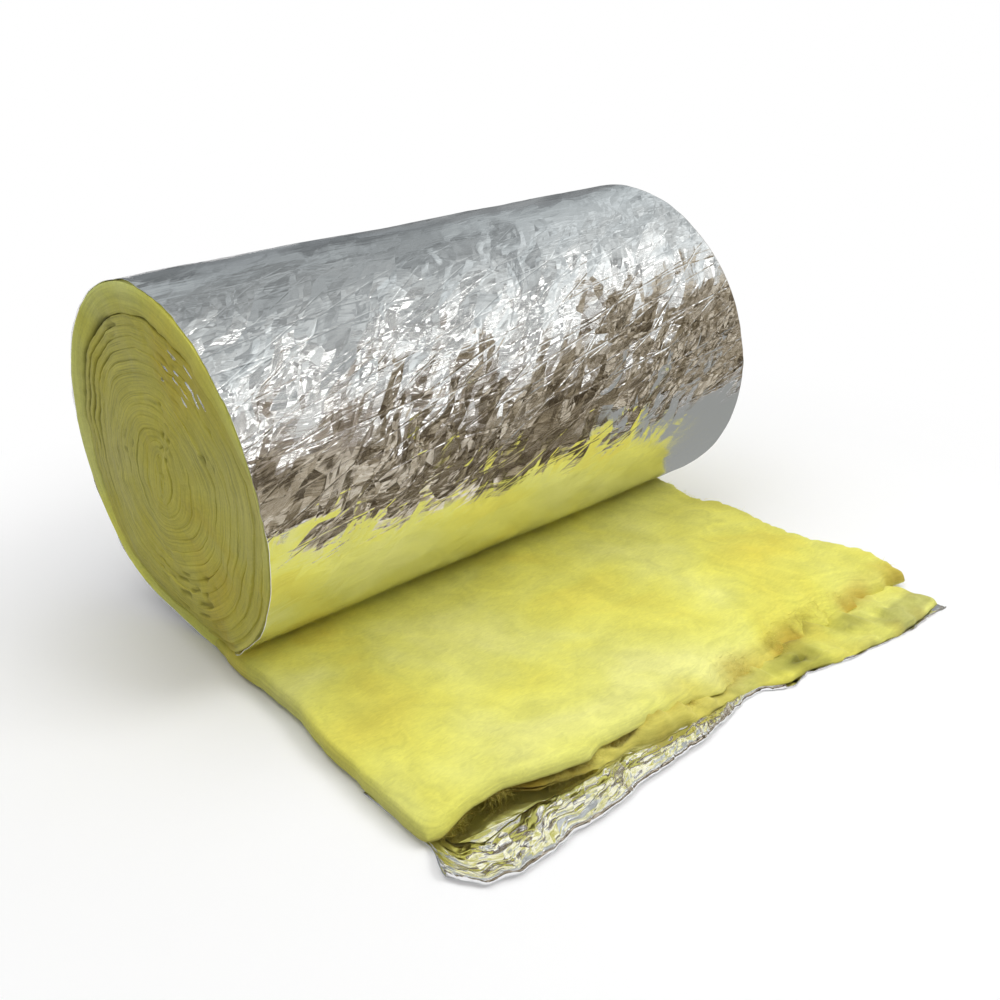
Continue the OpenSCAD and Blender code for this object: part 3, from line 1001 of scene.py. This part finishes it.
# A card of yellow and white in front of the roll, which the foil's folded hem shows and the roll doesn't:
# a painted reflection of yellow wool and white highlights on the hem
stage_wall("hem_card", (0.06, -0.35), (0.06, 0.45), 0.21, 0.55,
           card_material("hem_card", HEM_COLOURS, 0.9, 0.1, one_sided=True))
stage_plane("grey_strip", GREY, 0.001, glow_material("grey_strip", (0.34, 0.35, 0.335)))


def grey_sky():
    """A mottled grey sheet arched over the object, dimmer towards the back, for the foil to reflect."""
    n = Nodes(bpy.data.materials.new("grey_sky"))
    place = n.place()
    axes = n.axes(place)
    turn = n.math("ARCTAN2", axes["Z"], axes["X"])
    patch = n.noise(place, 1.1, 4.0, Roughness=0.6)["Fac"]
    drift = n.times(n.math("SUBTRACT", patch, 0.5), 0.9)
    level = n.span(n.math("ADD", turn, drift), math.radians(15), math.radians(175), 0.0, 1.0)
    colour = n.ramp(level, [
        (0.0, (0.16, 0.125, 0.09)), (0.10, (0.34, 0.30, 0.25)), (0.22, (0.52, 0.52, 0.50)),
        (0.40, (0.54, 0.56, 0.55)), (0.58, (0.42, 0.445, 0.445)), (0.78, (0.31, 0.335, 0.34)),
        (1.0, (0.20, 0.215, 0.225))])
    glint = n.span(n.noise(place, 2.3, 2.0)["Fac"], 0.38, 0.68, 0.62, 1.75)
    gain = n.times(glint, n.span(axes["Y"], 1.6, 2.3, 0.92, 1.5))
    n.surface(n.add("ShaderNodeEmission", Color=n.scaled(colour, gain), Strength=1.0))
    radius, near_y, far_y = 2.5, -14.0, 16.0
    turns = np.linspace(math.radians(8), math.radians(176), 22)
    points = [(radius * math.cos(t), y, radius * math.sin(t)) for t in turns for y in (near_y, far_y)]
    faces = [(2 * i, 2 * i + 1, 2 * i + 3, 2 * i + 2) for i in range(len(turns) - 1)]
    stage_mesh("grey_sky", points, faces, n.owner)


grey_sky()


def tube_lamps():
    """Rows of narrow bright cards overhead, like tube lamps, that make the foil sparkle."""
    radius, half_angle, length, gap = 2.4, math.radians(1.4), 0.6, 0.5
    points, faces = [], []
    for row, turn in enumerate(np.radians([33, 46, 59, 73])):
        for y in np.arange(-3.0, 5.0, length + gap) + 0.4 * row:
            first = len(points)
            for t, end in rectangle(turn - half_angle, y, turn + half_angle, y + length):
                points.append((radius * math.cos(t), end, radius * math.sin(t)))
            faces.append(tuple(range(first, first + 4)))
    stage_mesh("tube_lamps", points, faces, glow_material("tube_lamp", (1.0, 1.0, 0.97), 3.0))


tube_lamps()


def softbox(name, place, target, size, power):
    """A square-cornered lamp that faces a target."""
    data = bpy.data.lights.new(name, "AREA")
    data.shape = "RECTANGLE"
    data.size, data.size_y = size
    data.energy = power
    obj = add_object(name, data)
    obj.location = place
    obj.rotation_euler = (Vector(target) - Vector(place)).to_track_quat("-Z", "Y").to_euler()
    # The foil shows the cards above and not the lamps themselves
    obj.visible_glossy = False


softbox("key", (1.6, 0.9, 1.9), (0, 0, 0.1), (1.2, 1.2), 32)
softbox("top", (-0.1, -0.3, 2.2), (0, 0, 0.1), (2.0, 1.8), 24)

# A dim world, which is white where the background shows
SCENE.world = bpy.data.worlds.new("studio")
n = Nodes(SCENE.world)
ambient = n.tree.nodes["Background"]
n.set(ambient, Color=(1, 1, 1, 1), Strength=0.36)
white = n.add("ShaderNodeBackground", Color=(1, 1, 1, 1), Strength=1.0)
n.blend(n.background_rays(), ambient, white)

# The camera, as fitted to the roll's outline: direction, turn about its own axis, distance and lens
CAMERA_AZIMUTH, CAMERA_ELEVATION, CAMERA_ROLL = 49.690, 24.048, -2.292
CAMERA_TARGET = Vector((CONTACT_X + 0.1126, 0.0017, 0.0978))
CAMERA_DISTANCE = 1.1543
IMAGE_SIZE, FOCAL_PIXELS, SENSOR_MM = 1000, 1147.1, 36.0

camera_data = bpy.data.cameras.new("camera")
camera_data.sensor_width = SENSOR_MM
camera_data.lens = FOCAL_PIXELS / IMAGE_SIZE * SENSOR_MM
camera = add_object("camera", camera_data)
azimuth, elevation = math.radians(CAMERA_AZIMUTH), math.radians(CAMERA_ELEVATION)
level = math.cos(elevation)
back = Vector((math.sin(azimuth) * level, -math.cos(azimuth) * level, math.sin(elevation)))
camera.location = CAMERA_TARGET + back * CAMERA_DISTANCE
facing = (-back).to_track_quat("-Z", "Y").to_matrix().to_4x4()
camera.matrix_world = (Matrix.Translation(camera.location) @ facing
                       @ Matrix.Rotation(math.radians(CAMERA_ROLL), 4, "Z"))
SCENE.camera = camera
SCENE.view_settings.view_transform = "Standard"
